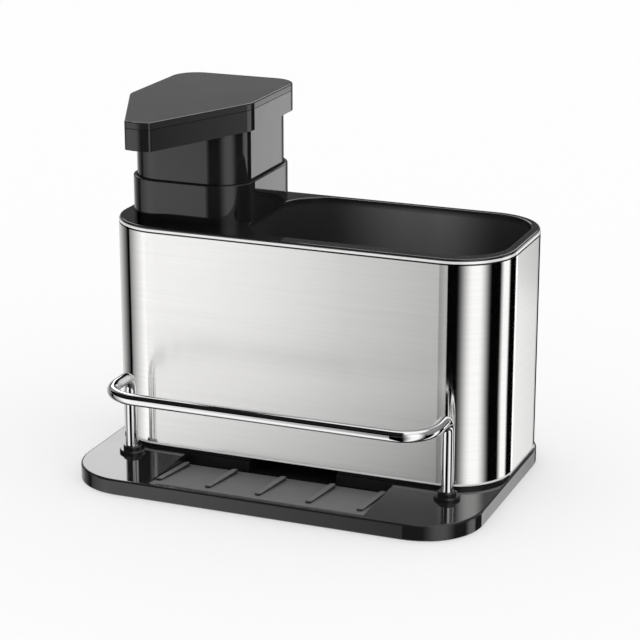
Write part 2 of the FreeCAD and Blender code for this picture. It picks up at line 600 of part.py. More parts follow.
def base_tray():
    body = make_body("base_tray")
    plate = rounded_rectangle(body, "plate", S.base_length, S.base_depth, S.base_radius,
                              (0, 0, S.foot_proud))
    pad(body, plate, S.base_thickness)
    round_edges(body, "plate_top_edge", S.base_edge, at_level(DECK_Z))
    round_edges(body, "plate_foot_edge", S.base_foot_edge, at_level(S.foot_proud))
    plinth = rounded_rectangle(body, "plinth", SLEEVE_LENGTH - 2 * S.plinth_inset,
                               S.sleeve_depth - 2 * S.plinth_inset,
                               S.sleeve_radius - S.plinth_inset, (0, SLEEVE_Y, DECK_Z))
    pad(body, plinth, S.plinth_height)
    inside = S.sleeve_wall + S.slide_gap
    locator = rounded_rectangle(body, "locator", SLEEVE_LENGTH - 2 * inside,
                                S.sleeve_depth - 2 * inside, S.sleeve_radius - inside,
                                (0, SLEEVE_Y, PLINTH_Z))
    pad(body, locator, S.locator_height)
    floor_z = DECK_Z - S.recess_depth
    above = DECK_Z + S.base_edge
    recess = polygon(body, "recess", ((RECESS_FRONT_Y, DECK_Z), (RECESS_BACK_Y, floor_z),
                                      (RECESS_BACK_Y, above), (RECESS_FRONT_Y, above)),
                     "YZ_Plane", (0, 0, -S.recess_offset))
    pocket(body, recess, S.recess_length, both=True)
    slope = S.recess_depth / (RECESS_BACK_Y - RECESS_FRONT_Y)
    rib_y = RECESS_FRONT_Y + S.rib_front
    rib_run = RECESS_BACK_Y - S.rib_back - rib_y
    rib_fall = slope - (S.rib_back_height - S.rib_front_height) / rib_run
    rib = slot(body, "rib", rib_run, S.rib_width,
               (-(S.rib_count - 1) / 2 * S.rib_pitch - S.rib_offset, rib_y,
                DECK_Z - S.rib_front * slope + S.rib_front_height), -arctangent(rib_fall))
    first_rib = pad(body, rib, S.rib_back_height + S.rib_root, down=True)
    ribs = body.newObject("PartDesign::LinearPattern", "ribs")
    ribs.Originals = [first_rib]
    ribs.Direction = (origin_item(body, "X_Axis"), [""])
    bind(ribs, "Length", (S.rib_count - 1) * S.rib_pitch)
    bind(ribs, "Occurrences", S.rib_count)
    body.Tip = ribs
    doc.recompute()
    channel = polygon(body, "channel", ((RECESS_BACK_Y, floor_z), (SLEEVE_Y, floor_z),
                                        (SLEEVE_Y, LOCATOR_Z), (RECESS_BACK_Y, LOCATOR_Z)),
                      "YZ_Plane", (0, 0, DRAIN_X))
    pocket(body, channel, S.drain_width, both=True)
    posts = ((POST_X, POST_Y), (-POST_X, POST_Y))
    pocket(body, circles(body, "bush_holes", posts, S.bush_shank, at=(0, 0, DECK_Z)),
           S.base_thickness)
    pocket(body, circles(body, "nut_pockets", posts, S.nut_pocket, at=(0, 0, S.foot_proud)),
           S.nut_sink, up=True)
    pocket(body, circles(body, "screw_holes", BOSSES, S.screw_diameter + 2 * S.screw_clear,
                         at=(0, 0, LOCATOR_Z)), LOCATOR_Z)
    pocket(body, circles(body, "screw_sinks", BOSSES, S.screw_head + 2 * S.screw_clear,
                         at=(0, 0, S.foot_proud)), S.screw_sink, up=True)
    feet = [(x, y) for x in (FOOT_X, -FOOT_X) for y in (FOOT_Y, -FOOT_Y)]
    pocket(body, circles(body, "foot_sinks", feet, S.foot_diameter, at=(0, 0, S.foot_proud)),
           S.foot_sink, up=True)
    keep(body)


def foot_pads():
    body = make_body("foot_pad")
    r = S.foot_diameter / 2
    top = S.foot_proud + S.foot_sink
    bevel = S.foot_proud / 2
    outline = polygon(body, "foot_profile", ((0, 0), (r - bevel, 0), (r, bevel), (r, top), (0, top)))
    revolve(body, outline)
    place(body, FOOT_X, FOOT_Y)
    keep(mirrored_group("foot_pads", body, ((MIRROR_X, 0), (MIRROR_Y, 0))))


def pan_screw(label, shank, head, head_height, length):
    """A pan-head screw that points up, with its seat at the origin and a round drive."""
    body = make_body(label)
    r, rim, chamfer = shank / 2, head / 2, shank / 4
    drive = head_height / 2
    outline = polygon(body, label + "_profile",
                      ((0, drive - head_height), (r, drive - head_height), (r, -head_height),
                       (rim - chamfer, -head_height), (rim, chamfer - head_height), (rim, 0),
                       (r, 0), (r, length - chamfer), (chamfer, length), (0, length)))
    revolve(body, outline)
    return body


def base_screws():
    seat = S.foot_proud + S.screw_sink
    body = pan_screw("base_screw", S.screw_diameter, S.screw_head, S.screw_head_height,
                     LOCATOR_Z - seat + S.screw_bite)
    place(body, BOSS_X, SLEEVE_Y + BOSS_ROW, seat)
    keep(mirrored_group("base_screws", body, ((MIRROR_X, 0), (MIRROR_Y, SLEEVE_Y))))


def steel_sleeve():
    """Sheet sleeve with a groove all round, which leaves a bead along its upper edge."""
    bead_z = S.sleeve_height - S.bead_height
    groove_z = bead_z - S.groove_height
    body = prism("steel_sleeve", SLEEVE_LENGTH, S.sleeve_depth, S.sleeve_radius, groove_z,
                 0, SLEEVE_Y, PLINTH_Z)
    neck = rounded_rectangle(body, "neck", SLEEVE_LENGTH - 2 * S.groove_depth,
                             S.sleeve_depth - 2 * S.groove_depth,
                             S.sleeve_radius - S.groove_depth, (0, 0, groove_z))
    pad(body, neck, S.groove_height)
    bead = rounded_rectangle(body, "bead", SLEEVE_LENGTH, S.sleeve_depth, S.sleeve_radius,
                             (0, 0, bead_z))
    pad(body, bead, S.bead_height)
    round_edges(body, "rolled_edges", S.sleeve_edge,
                lambda edge: at_level(as_size(0))(edge) or at_level(S.sleeve_height)(edge))
    inside = rounded_rectangle(body, "sleeve_inside", SLEEVE_LENGTH - 2 * S.sleeve_wall,
                               S.sleeve_depth - 2 * S.sleeve_wall,
                               S.sleeve_radius - S.sleeve_wall, (0, 0, S.sleeve_height))
    pocket(body, inside, S.sleeve_height)
    keep(body)


def round_compartment(edge):
    """Whether an edge lies on the compartment's outline."""
    box = edge.BoundBox
    return (box.XMin > COMPARTMENT_LEFT.number - 1e-3 and box.XMax < COMPARTMENT_RIGHT.number + 1e-3
            and box.YMin > COMPARTMENT_FRONT_Y.number - 1e-3)


def inner_liner():
    body = make_body("inner_liner")
    rim = rounded_rectangle(body, "rim", SLEEVE_LENGTH - 2 * S.rim_inset,
                            S.sleeve_depth - 2 * S.rim_inset, S.sleeve_radius - S.rim_inset,
                            (0, SLEEVE_Y, SLEEVE_TOP))
    pad(body, rim, S.rim_rise)
    round_edges(body, "rim_edge", S.rim_edge, at_level(RIM_Z))
    inside = S.sleeve_wall + S.slide_gap
    deck = rounded_rectangle(body, "deck", SLEEVE_LENGTH - 2 * inside,
                             S.sleeve_depth - 2 * inside, S.sleeve_radius - inside,
                             (0, SLEEVE_Y, SLEEVE_TOP))
    pad(body, deck, S.deck_thickness, down=True)
    wall = S.liner_wall
    cup_height = SLEEVE_TOP - CUP_BASE
    cup = rounded_rectangle(body, "compartment_wall", COMPARTMENT_LENGTH + 2 * wall,
                            COMPARTMENT_DEPTH + 2 * wall, S.compartment_radius + wall,
                            (COMPARTMENT_X, COMPARTMENT_Y, SLEEVE_TOP))
    pad(body, cup, cup_height, down=True)
    bay = rounded_rectangle(body, "bay_wall", BAY_WIDTH + 2 * wall, BAY_DEPTH + 2 * wall,
                            S.bay_radius + wall, (PUMP_X, PUMP_Y, SLEEVE_TOP))
    pad(body, bay, cup_height, down=True)
    hollow = RIM_Z - CUP_FLOOR
    compartment = rounded_rectangle(body, "compartment", COMPARTMENT_LENGTH, COMPARTMENT_DEPTH,
                                    S.compartment_radius, (COMPARTMENT_X, COMPARTMENT_Y, RIM_Z))
    pocket(body, compartment, hollow)
    round_edges(body, "compartment_lip", S.compartment_lip,
                lambda edge: at_level(RIM_Z)(edge) and round_compartment(edge))
    bay_hollow = rounded_rectangle(body, "bay", BAY_WIDTH, BAY_DEPTH, S.bay_radius,
                                   (PUMP_X, PUMP_Y, RIM_Z))
    pocket(body, bay_hollow, hollow)
    pad(body, circles(body, "bosses", BOSSES, S.boss_diameter, at=(0, 0, CUP_BASE)),
        S.boss_height, down=True)
    pocket(body, circles(body, "boss_bores", BOSSES, S.screw_diameter, at=(0, 0, LOCATOR_Z)),
           S.screw_bite + S.screw_clear, up=True)
    drains = [(DRAIN_X + step * S.drain_pitch, SLEEVE_Y - S.drain_setback) for step in (-1, 0, 1)]
    pocket(body, circles(body, "drains", drains, S.drain_hole, at=(0, 0, CUP_FLOOR)),
           S.floor_thickness)
    keep(body)


def tube_along(points, radii, diameter):
    """A round bar through points, with a tangent arc of the given radius at each inner point."""
    edges = []
    start = points[0]
    for before, corner, after, radius in zip(points, points[1:], points[2:], radii):
        back = (before - corner).normalize()
        ahead = (after - corner).normalize()
        reach = radius / math.tan(back.getAngle(ahead) / 2)
        enter, leave = corner + back * reach, corner + ahead * reach
        middle = corner + (back + ahead).normalize() * (math.hypot(radius, reach) - radius)
        edges.append(Part.LineSegment(start, enter).toShape())
        edges.append(Part.Arc(enter, middle, leave).toShape())
        start = leave
    edges.append(Part.LineSegment(start, points[-1]).toShape())
    path = Part.Wire(edges)
    section = Part.Wire(Part.makeCircle(diameter / 2, points[0], points[1] - points[0]))
    return path.makePipeShell([section], True, False)


def sponge_rail():
    """Two posts bent forwards at the top into a U that runs round the front."""
    x = POST_X.number
    back = POST_Y.number
    front = (POST_Y - S.bar_reach).number
    foot = (S.foot_proud + S.slide_gap).number
    top = (DECK_Z + S.bar_height).number
    route = [VEC(-x, back, foot), VEC(-x, back, top), VEC(-x, front, top),
             VEC(x, front, top), VEC(x, back, top), VEC(x, back, foot)]
    bend, corner = S.rail_bend.number, S.rail_corner.number
    rail = doc.addObject("Part::Feature", "sponge_rail")
    rail.Shape = tube_along(route, (bend, corner, corner, bend), S.wire_diameter.number)
    rail.Label = "sponge_rail"
    keep(rail)


def rail_bushes():
    body = make_body("rail_bush")
    bore, shank = S.wire_diameter / 2, S.bush_shank / 2
    flange, collar = S.bush_flange / 2, S.bush_collar / 2
    foot = S.nut_sink - S.base_thickness
    shoulder = S.bush_flange_height
    crown = shoulder + S.bush_collar_height
    bevel = shoulder / 3
    outline = polygon(body, "bush_profile",
                      ((bore, foot), (shank, foot), (shank, 0), (flange, 0),
                       (flange, shoulder - bevel), (flange - bevel, shoulder), (collar, shoulder),
                       (collar, crown - bevel), (collar - bevel, crown), (bore, crown)))
    revolve(body, outline)
    place(body, POST_X, POST_Y, DECK_Z)
    keep(mirrored_group("rail_bushes", body, ((MIRROR_X, 0),)))


def rail_nuts():
    body = make_body("rail_nut")
    sketch = make_sketch(body, "nut_outline")
    apothem = S.nut_flats / 2
    corner = apothem.number / math.cos(math.radians(30))
    turns = [math.radians(60 * step) for step in range(6)]
    corners = [VEC(corner * math.cos(turn), corner * math.sin(turn), 0) for turn in turns]
    for index in range(6):
        sketch.addGeometry(Part.LineSegment(corners[index], corners[(index + 1) % 6]))
    for index in range(6):
        sketch.addConstraint(Sketcher.Constraint("Coincident", index, 2, (index + 1) % 6, 1))
        if index:
            sketch.addConstraint(Sketcher.Constraint("Equal", 0, index))
    sketch.addGeometry(Part.Circle(VEC(0, 0, 0), VEC(0, 0, 1), corner), True)
    sketch.addConstraint(Sketcher.Constraint("Coincident", 6, 3, -1, 1))
    for index in range(6):
        sketch.addConstraint(Sketcher.Constraint("PointOnObject", index, 1, 6))
    sketch.addConstraint(Sketcher.Constraint("PointOnObject", 0, 1, -1))
    named_constraint(sketch, "flats", S.nut_flats, "DistanceY", 4, 1, 1, 1)
    pad(body, sketch, S.nut_height)
    bore = circles(body, "nut_bore", ((0, 0),), S.wire_diameter, at=(0, 0, S.nut_height))
    pocket(body, bore, S.nut_height)
    place(body, POST_X, POST_Y, S.foot_proud + S.nut_sink - S.nut_height)
    keep(mirrored_group("rail_nuts", body, ((MIRROR_X, 0),)))


def reservoir():
    height = RIM_Z - S.reservoir_drop - CUP_FLOOR
    body = prism("reservoir", RESERVOIR_WIDTH, RESERVOIR_DEPTH, RESERVOIR_RADIUS, height,
                 PUMP_X, PUMP_Y, CUP_FLOOR)
    inside = rounded_rectangle(body, "reservoir_inside", MOUTH_WIDTH, MOUTH_DEPTH, MOUTH_RADIUS,
                               (0, 0, height))
    pocket(body, inside, height - S.reservoir_wall)
    keep(body)


def mouth_gasket():
    fit = S.gasket_fit
    body = prism("mouth_gasket", MOUTH_WIDTH - 2 * fit, MOUTH_DEPTH - 2 * fit, MOUTH_RADIUS - fit,
                 S.gasket_height, PUMP_X, PUMP_Y, RIM_Z - S.plug_depth + S.gasket_lift)
    inside = rounded_rectangle(body, "gasket_inside", PLUG_WIDTH, PLUG_DEPTH, PLUG_RADIUS,
                               (0, 0, S.gasket_height))
    pocket(body, inside, S.gasket_height)
    keep(body)


def pump_collar():
    body = prism("pump_collar", S.collar_width, COLLAR_DEPTH, S.collar_radius, S.collar_height,
                 PUMP_X, PUMP_Y, RIM_Z)
    round_edges(body, "collar_edge", S.collar_edge, at_level(S.collar_height))
    wall = S.collar_wall
    well = rounded_rectangle(body, "collar_well", S.collar_width - 2 * wall,
                             COLLAR_DEPTH - 2 * wall, S.collar_radius - wall,
                             (0, 0, S.collar_height))
    pocket(body, well, S.collar_height - S.collar_floor)
    plug = rounded_rectangle(body, "plug", PLUG_WIDTH, PLUG_DEPTH, PLUG_RADIUS)
    pad(body, plug, S.plug_depth, down=True)
    skirt = S.plug_wall
    hollow = rounded_rectangle(body, "plug_hollow", PLUG_WIDTH - 2 * skirt, PLUG_DEPTH - 2 * skirt,
                               PLUG_RADIUS - skirt, (0, 0, -S.plug_depth))
    pocket(body, hollow, S.plug_depth, up=True)
    hole = S.cylinder_bore + 2 * S.cylinder_wall + 2 * S.cylinder_fit
    pocket(body, circles(body, "cylinder_hole", ((0, 0),), hole, at=(0, 0, S.collar_floor)),
           S.collar_floor)
    keep(body)


def turned(label, points):
    """A round piece on the pump's axis, from its profile of (radius, height) points."""
    body = make_body(label)
    revolve(body, polygon(body, label + "_profile", points))
    place(body, PUMP_X, PUMP_Y, 0)
    keep(body)


def pump_cylinder():
    bore = S.cylinder_bore / 2
    barrel = bore + S.cylinder_wall
    neck = S.tube_diameter / 2 + S.socket_wall
    throat = S.inlet_throat / 2
    tube = S.tube_diameter / 2
    flange = S.cylinder_flange / 2
    foot = TUBE_TOP - S.tube_socket
    turned("pump_cylinder",
           ((bore, BORE_TOP), (flange, BORE_TOP), (flange, COLLAR_FLOOR_Z),
            (barrel, COLLAR_FLOOR_Z), (barrel, CAGE_Z - S.cylinder_wall),
            (neck, CAGE_Z - S.cylinder_wall - (barrel - neck)), (neck, foot), (tube, foot),
            (tube, TUBE_TOP), (throat, TUBE_TOP), (throat, INLET_THROAT_Z),
            (INLET_CHAMBER, INLET_THROAT_Z + INLET_CONE), (INLET_CHAMBER, CAGE_Z),
            (bore, CAGE_Z)))


def stem_guide():
    bore = S.stem_diameter / 2 + S.stem_fit
    plug = S.cylinder_bore / 2 - S.guide_fit
    cap = S.cylinder_flange / 2
    bevel = S.guide_cap / 4
    turned("stem_guide",
           ((bore, BORE_TOP - S.guide_plug), (plug, BORE_TOP - S.guide_plug), (plug, BORE_TOP),
            (cap, BORE_TOP), (cap, GUIDE_TOP - bevel), (cap - bevel, GUIDE_TOP),
            (bore, GUIDE_TOP)))


def ball_cage():
    bore, rim = S.cage_bore / 2, S.cylinder_bore / 2 - S.guide_fit
    top = CAGE_Z + S.cage_height
    turned("ball_cage", ((bore, CAGE_Z), (rim, CAGE_Z), (rim, top), (bore, top)))


def dip_tube():
    bore, rim = S.tube_bore / 2, S.tube_diameter / 2
    turned("dip_tube", ((bore, TUBE_BASE), (rim, TUBE_BASE + (rim - bore)), (rim, TUBE_TOP),
                        (bore, TUBE_TOP)))


def piston_stem():
    bore, rim = S.stem_bore / 2, S.stem_diameter / 2
    throat = S.outlet_throat / 2
    foot = rim + S.stem_foot_rim
    throat_base = OUTLET_THROAT_Z - S.throat_length
    turned("piston_stem",
           ((bore, STEM_BASE), (foot, STEM_BASE), (foot, STEM_BASE + S.stem_foot),
            (rim, STEM_BASE + S.stem_foot), (rim, STEM_TOP), (OUTLET_CHAMBER, STEM_TOP),
            (OUTLET_CHAMBER, OUTLET_THROAT_Z + OUTLET_CONE), (throat, OUTLET_THROAT_Z),
            (throat, throat_base), (bore, throat_base - (bore - throat))))


def piston_seal():
    hub = S.stem_diameter / 2
    rim = S.cylinder_bore / 2 - S.seal_fit
    lip = rim - S.seal_lip
    base = SEAL_TOP - S.seal_height
    cup = hub + S.seal_lip
    turned("piston_seal",
           ((hub, base), (cup, base), (cup, base + S.seal_cup), (lip, base + S.seal_cup),
            (lip, base), (rim, base), (rim, SEAL_TOP), (lip, SEAL_TOP),
            (lip, SEAL_TOP - S.seal_cup), (cup, SEAL_TOP - S.seal_cup), (cup, SEAL_TOP),
            (hub, SEAL_TOP)))


def valve_ball(label, diameter, height):
    ball = doc.addObject("Part::Sphere", label)
    ball.Label = label
    bind(ball, "Radius", diameter / 2)
    place(ball, PUMP_X, PUMP_Y, height)
    keep(ball)


def return_spring():
    """One unbroken wire: quarter-turn arcs on a helix between the guide and the plunger's top."""
    wire = S.spring_wire.number
    radius = S.spring_mean.number / 2
    lowest = (GUIDE_TOP + S.spring_seat).number + wire / 2
    highest = (HEAD_Z - S.plunger_top - S.spring_seat).number - wire / 2
    turns = S.spring_turns.number
    pitch = (highest - lowest) / turns
    quarters = int(round(4 * turns))

    def on_helix(quarter):
        angle = math.pi / 2 * quarter
        height = lowest + (highest - lowest) * quarter / quarters
        return VEC(radius * math.cos(angle), radius * math.sin(angle), height)

    arcs = [Part.Arc(on_helix(step), on_helix(step + 0.5), on_helix(step + 1)).toShape()
            for step in range(quarters)]
    path = Part.Wire(arcs)
    heading = on_helix(0.01) - on_helix(0)
    section = Part.Wire(Part.makeCircle(wire / 2, on_helix(0), heading))
    spring = doc.addObject("Part::Feature", "return_spring")
    spring.Shape = path.makePipeShell([section], True, False)
    spring.Label = "return_spring"
    place(spring, PUMP_X, PUMP_Y, 0)
    print("return spring: least gap between turns %.2f mm" % (pitch - wire))
    keep(spring)


def plunger_sleeve():
    width = S.collar_width - 2 * PLUNGER_INSET
    depth = COLLAR_DEPTH - 2 * PLUNGER_INSET
    radius = S.collar_radius - PLUNGER_INSET
    height = HEAD_Z - PLUNGER_BASE
    body = prism("plunger_sleeve", width, depth, radius, height, PUMP_X, PUMP_Y, PLUNGER_BASE)
    wall = S.plunger_wall
    inside = rounded_rectangle(body, "plunger_inside", width - 2 * wall, depth - 2 * wall,
                               radius - wall)
    pocket(body, inside, height - S.plunger_top, up=True)
    stem = circles(body, "stem_hole", ((0, 0),), S.stem_diameter, at=(0, 0, height))
    pocket(body, stem, S.plunger_top)
    holes = circles(body, "plunger_screw_holes", HEAD_SCREWS,
                    S.head_screw_diameter + 2 * S.screw_clear, at=(0, 0, height))
    pocket(body, holes, S.plunger_top)
    keep(body)


def head_outline(body, name, level, inset=0):
    """Square at the back, tapering to a blunt, bowed spout at the front."""
    inset = as_size(inset)
    side, back = HEAD_SIDE - inset, HEAD_BACK - inset
    shoulder = HEAD_SHOULDER - inset * tangent(TAPER / 2)
    spout = S.spout_half_width - inset * tangent(45 - TAPER / 2)
    radius = S.nose_radius - inset
    reach = NOSE_CENTRE + other_side(radius, spout)
    sketch = polygon(body, name, ((side, back), (-side, back), (-side, -shoulder), (-spout, -reach),
                                  (spout, -reach), (side, -shoulder)), "XY_Plane", (0, 0, level))
    chord = 3
    sketch.toggleConstruction(chord)
    half_turn = math.asin(spout.number / radius.number)
    circle = Part.Circle(VEC(0, -NOSE_CENTRE.number, 0), VEC(0, 0, 1), radius.number)
    front = math.radians(270)
    bow = sketch.addGeometry(Part.ArcOfCircle(circle, front - half_turn, front + half_turn))
    for end in (1, 2):
        sketch.addConstraint(Sketcher.Constraint("Coincident", bow, end, chord, end))
    named_constraint(sketch, "bow", radius, "Radius", bow)
    return sketch


def corner_zone(edge):
    """Which corner of a head outline an upright edge belongs to."""
    y = edge.CenterOfMass.y
    if y > 0:
        return "back"
    return "side" if y > -(HEAD_SHOULDER + SPOUT_REACH).number / 2 else "spout"


def round_corners(body, name, zone, radius, bottom):
    """Round the upright corners of one zone that start at one height."""
    def wanted(edge):
        box = edge.BoundBox
        upright = box.DiagonalLength - box.ZLength < 1e-6
        return upright and abs(box.ZMin - bottom.number) < 1e-4 and corner_zone(edge) == zone
    round_edges(body, "%s_%s" % (name, zone), radius, wanted)


def round_head(body, name, bottom, inset=0):
    """Large corners at the back of a head outline, smaller ones along its spout."""
    for zone, radius in (("back", S.head_corner), ("side", S.shoulder_corner),
                         ("spout", S.spout_corner)):
        round_corners(body, name, zone, radius - inset, bottom)


def head_body():
    """Open-topped shell with the stem's socket, four screw bosses and the nozzle's hole."""
    body = make_body("head_body")
    floor = S.head_wall
    top = HEAD_TOP - HEAD_Z
    pad(body, head_outline(body, "head_outline", 0), top)
    pocket(body, head_outline(body, "head_inside", top, S.head_wall), top - floor)
    round_corners(body, "inside", "back", S.head_corner - S.head_wall, floor)
    round_head(body, "head", as_size(0))
    axis = ((0, 0),)
    pad(body, circles(body, "socket", axis, S.socket_diameter, at=(0, 0, floor)), S.nozzle_height)
    pad(body, circles(body, "head_bosses", HEAD_SCREWS, S.head_boss, at=(0, 0, floor)),
        S.head_boss_height)
    pocket(body, circles(body, "stem_seat", axis, S.stem_diameter), floor, up=True)
    pocket(body, circles(body, "boss_holes", HEAD_SCREWS, S.head_screw_diameter),
           floor + S.head_boss_height, up=True)
    rise = SPOUT_Z - HEAD_Z
    pocket(body, circles(body, "socket_bore", axis, S.spout_tube_bore, at=(0, 0, floor)),
           rise - floor, up=True)
    tube = ((0, rise),)
    pocket(body, circles(body, "socket_passage", tube, S.spout_tube_bore, "XZ_Plane"),
           S.tube_root, up=True)
    pocket(body, circles(body, "tube_hole", tube, S.spout_tube_diameter, "XZ_Plane",
                         (0, 0, S.tube_root)), S.socket_diameter / 2, up=True)
    nozzle = ((0, S.nozzle_setback - SPOUT_REACH),)
    pocket(body, circles(body, "nozzle_hole", nozzle, S.nozzle_tip), floor, up=True)
    place(body, PUMP_X, PUMP_Y, HEAD_Z)
    keep(body)


def head_cover():
    """Lid on a slightly smaller land, which leaves a shadow line, with pegs into the bosses."""
    body = make_body("head_cover")
    pad(body, head_outline(body, "land", 0, S.seam_inset), S.cover_seam)
    round_head(body, "land_corner", as_size(0), S.seam_inset)
    pad(body, head_outline(body, "lid", S.cover_seam), S.cover_thickness)
    round_head(body, "lid_corner", S.cover_seam)
    round_edges(body, "lid_edge", S.cover_edge, at_level(S.cover_seam + S.cover_thickness))
    pegs = circles(body, "pegs", HEAD_SCREWS, S.head_screw_diameter - 2 * S.peg_fit)
    pad(body, pegs, HEAD_TOP - HEAD_Z - S.head_screw_bite - S.peg_gap, down=True)
    place(body, PUMP_X, PUMP_Y, HEAD_TOP)
    keep(body)


def head_screws():
    body = pan_screw("head_screw", S.head_screw_diameter, S.head_screw_head,
                     S.head_screw_head_height, S.plunger_top + S.head_screw_bite)
    place(body, PUMP_X + HEAD_SCREW_X, PUMP_Y + HEAD_SCREW_ROW, HEAD_Z - S.plunger_top)
    keep(mirrored_group("head_screws", body, ((MIRROR_X, PUMP_X), (MIRROR_Y, PUMP_Y))))


def spout_tube():
    body = make_body("spout_tube")
    axis = ((0, 0),)
    length = PUMP_Y - S.tube_root - NOZZLE_Y - S.tube_end
    pad(body, circles(body, "tube_outside", axis, S.spout_tube_diameter, "XZ_Plane"), length)
    pocket(body, circles(body, "tube_inside", axis, S.spout_tube_bore, "XZ_Plane"), length, up=True)
    place(body, PUMP_X, PUMP_Y - S.tube_root, SPOUT_Z)
    keep(body)


def spout_nozzle():
    body = make_body("spout_nozzle")
    bore, tip, rim = S.nozzle_bore / 2, S.nozzle_tip / 2, S.nozzle_body / 2
    low = HEAD_Z + S.nozzle_recess
    seat = HEAD_Z + S.head_wall
    top = seat + S.nozzle_height
    outline = polygon(body, "nozzle_profile",
                      ((bore, low), (tip, low), (tip, seat), (rim, seat), (rim, top), (0, top),
                       (0, SPOUT_Z), (bore, SPOUT_Z)))
    revolve(body, outline)
    tube = ((0, SPOUT_Z),)
    pocket(body, circles(body, "nozzle_passage", tube, S.spout_tube_bore, "XZ_Plane"), S.tube_end)
    pocket(body, circles(body, "nozzle_tube_hole", tube, S.spout_tube_diameter, "XZ_Plane",
                         (0, 0, -S.tube_end)), rim)
    place(body, PUMP_X, NOZZLE_Y, 0)
    keep(body)


BUILDERS = (base_tray, foot_pads, base_screws, steel_sleeve, inner_liner, sponge_rail, rail_bushes,
            rail_nuts, reservoir, mouth_gasket, pump_collar, pump_cylinder, stem_guide, ball_cage,
            dip_tube, piston_stem, piston_seal, return_spring, plunger_sleeve, head_body, head_cover,
            head_screws, spout_tube, spout_nozzle)
for build in BUILDERS:
    build()
valve_ball("inlet_ball", S.inlet_ball_diameter, INLET_BALL_Z)
valve_ball("outlet_ball", S.outlet_ball_diameter, OUTLET_BALL_Z)
doc.recompute()

for item in doc.Objects:
    if "Invalid" in item.State or "Error" in item.State:
        raise RuntimeError("%s did not build: %s" % (item.Name, item.State))
os.makedirs("parts", exist_ok=True)
for node, item in NODES.items():
    if item.Shape.isNull() or not item.Shape.isValid():
        raise RuntimeError("%s has no sound shape" % node)
    item.Shape.exportStep("parts/%s.step" % node)
    print("%-16s %2d solid(s) %10.1f mm3" % (node, len(item.Shape.Solids), item.Shape.Volume))
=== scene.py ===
"""Looks of the soap pump caddy: materials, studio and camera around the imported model.

Lengths are metres in the part's own frame, and angles are degrees.
A pair of numbers given to rise() or fall() is where a soft edge starts and where it ends.
"""
import bpy
import math
from mathutils import Matrix, Vector


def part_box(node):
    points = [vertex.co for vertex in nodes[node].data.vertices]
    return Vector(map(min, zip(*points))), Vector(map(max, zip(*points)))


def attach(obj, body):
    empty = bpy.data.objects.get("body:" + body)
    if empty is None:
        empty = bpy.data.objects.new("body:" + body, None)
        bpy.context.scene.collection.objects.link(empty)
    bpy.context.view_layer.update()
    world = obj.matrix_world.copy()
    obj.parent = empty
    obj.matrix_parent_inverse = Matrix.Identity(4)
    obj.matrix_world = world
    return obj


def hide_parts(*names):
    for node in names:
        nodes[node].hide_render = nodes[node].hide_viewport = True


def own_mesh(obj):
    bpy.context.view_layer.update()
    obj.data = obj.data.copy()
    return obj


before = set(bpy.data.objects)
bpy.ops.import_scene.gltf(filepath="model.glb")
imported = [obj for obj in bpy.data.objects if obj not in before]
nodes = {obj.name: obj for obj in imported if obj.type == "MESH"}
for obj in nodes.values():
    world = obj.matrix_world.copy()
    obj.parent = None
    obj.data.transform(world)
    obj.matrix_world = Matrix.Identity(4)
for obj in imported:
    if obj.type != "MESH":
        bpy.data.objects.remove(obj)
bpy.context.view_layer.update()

WHITE = (1.0, 1.0, 1.0, 1.0)

# Most values of a noise lie in this span.
NOISE_SPAN = (0.3, 0.7)

# The polished black that the mouldings share.
POLISHED_BLACK = ((0.009, 0.009, 0.0095), (0.014, 0.014, 0.0145))
POLISHED_ROUGHNESS = (0.045, 0.085)
COAT_WEIGHT = 0.4
COAT_ROUGHNESS = 0.03


def grey(value):
    return (value, value, value)


# ---------------------------------------------------------------- node helpers

